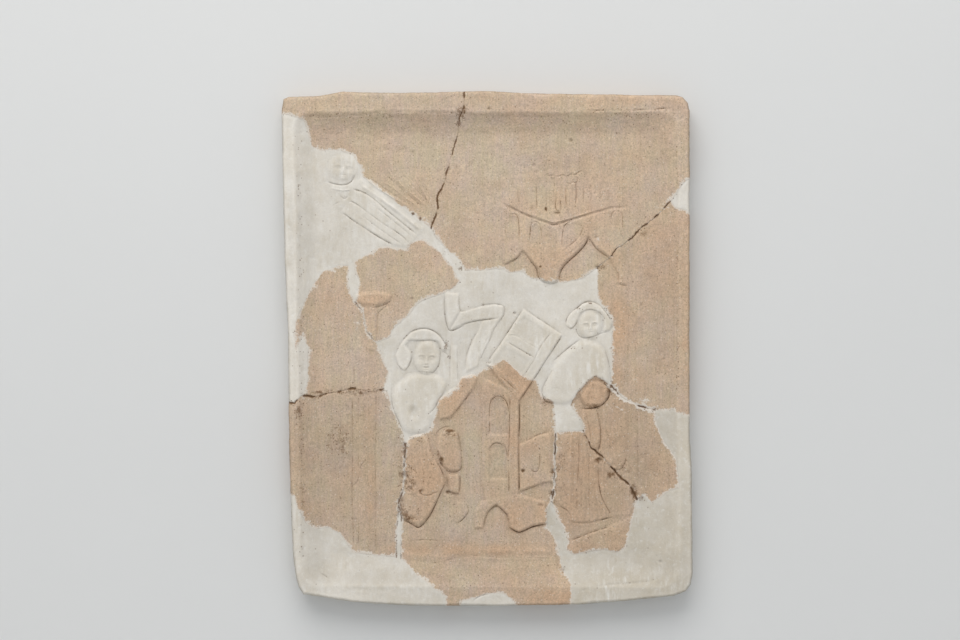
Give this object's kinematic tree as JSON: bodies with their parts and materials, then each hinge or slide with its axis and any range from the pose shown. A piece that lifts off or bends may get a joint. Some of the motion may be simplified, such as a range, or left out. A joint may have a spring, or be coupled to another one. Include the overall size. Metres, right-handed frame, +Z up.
{
  "type": "relief stove tile",
  "caption": "Unglazed clay stove tile with figures in low relief under a canopy, broken, rejoined and filled with plaster, with an open chamber behind.",
  "frame": {"origin": "middle of the rear rim of the rump's bottom wall, where the tile is bedded in the stove", "axes": "+X to the viewer's right across the tile, +Y away from the viewer into the stove, +Z up; the relief faces -Y"},
  "size_m": [0.222, 0.056, 0.278],
  "materials": {
    "terracotta": "matt unglazed fired clay, worn and pitted",
    "plaster": "matt off-white filling plaster"
  },
  "bodies": {
    "root": {"sherd_top_left": "terracotta", "sherd_top_right": "terracotta", "sherd_left": "terracotta", "sherd_upper_middle": "terracotta", "sherd_right": "terracotta", "sherd_lower_left": "terracotta", "sherd_centre": "terracotta", "sherd_robe": "terracotta", "sherd_lower_right": "terracotta", "fill_upper": "plaster", "fill_lower_left": "plaster", "fill_lower_right": "plaster", "fill_right_edge": "plaster", "fill_bottom_edge": "plaster"}
  },
  "joints": []
}
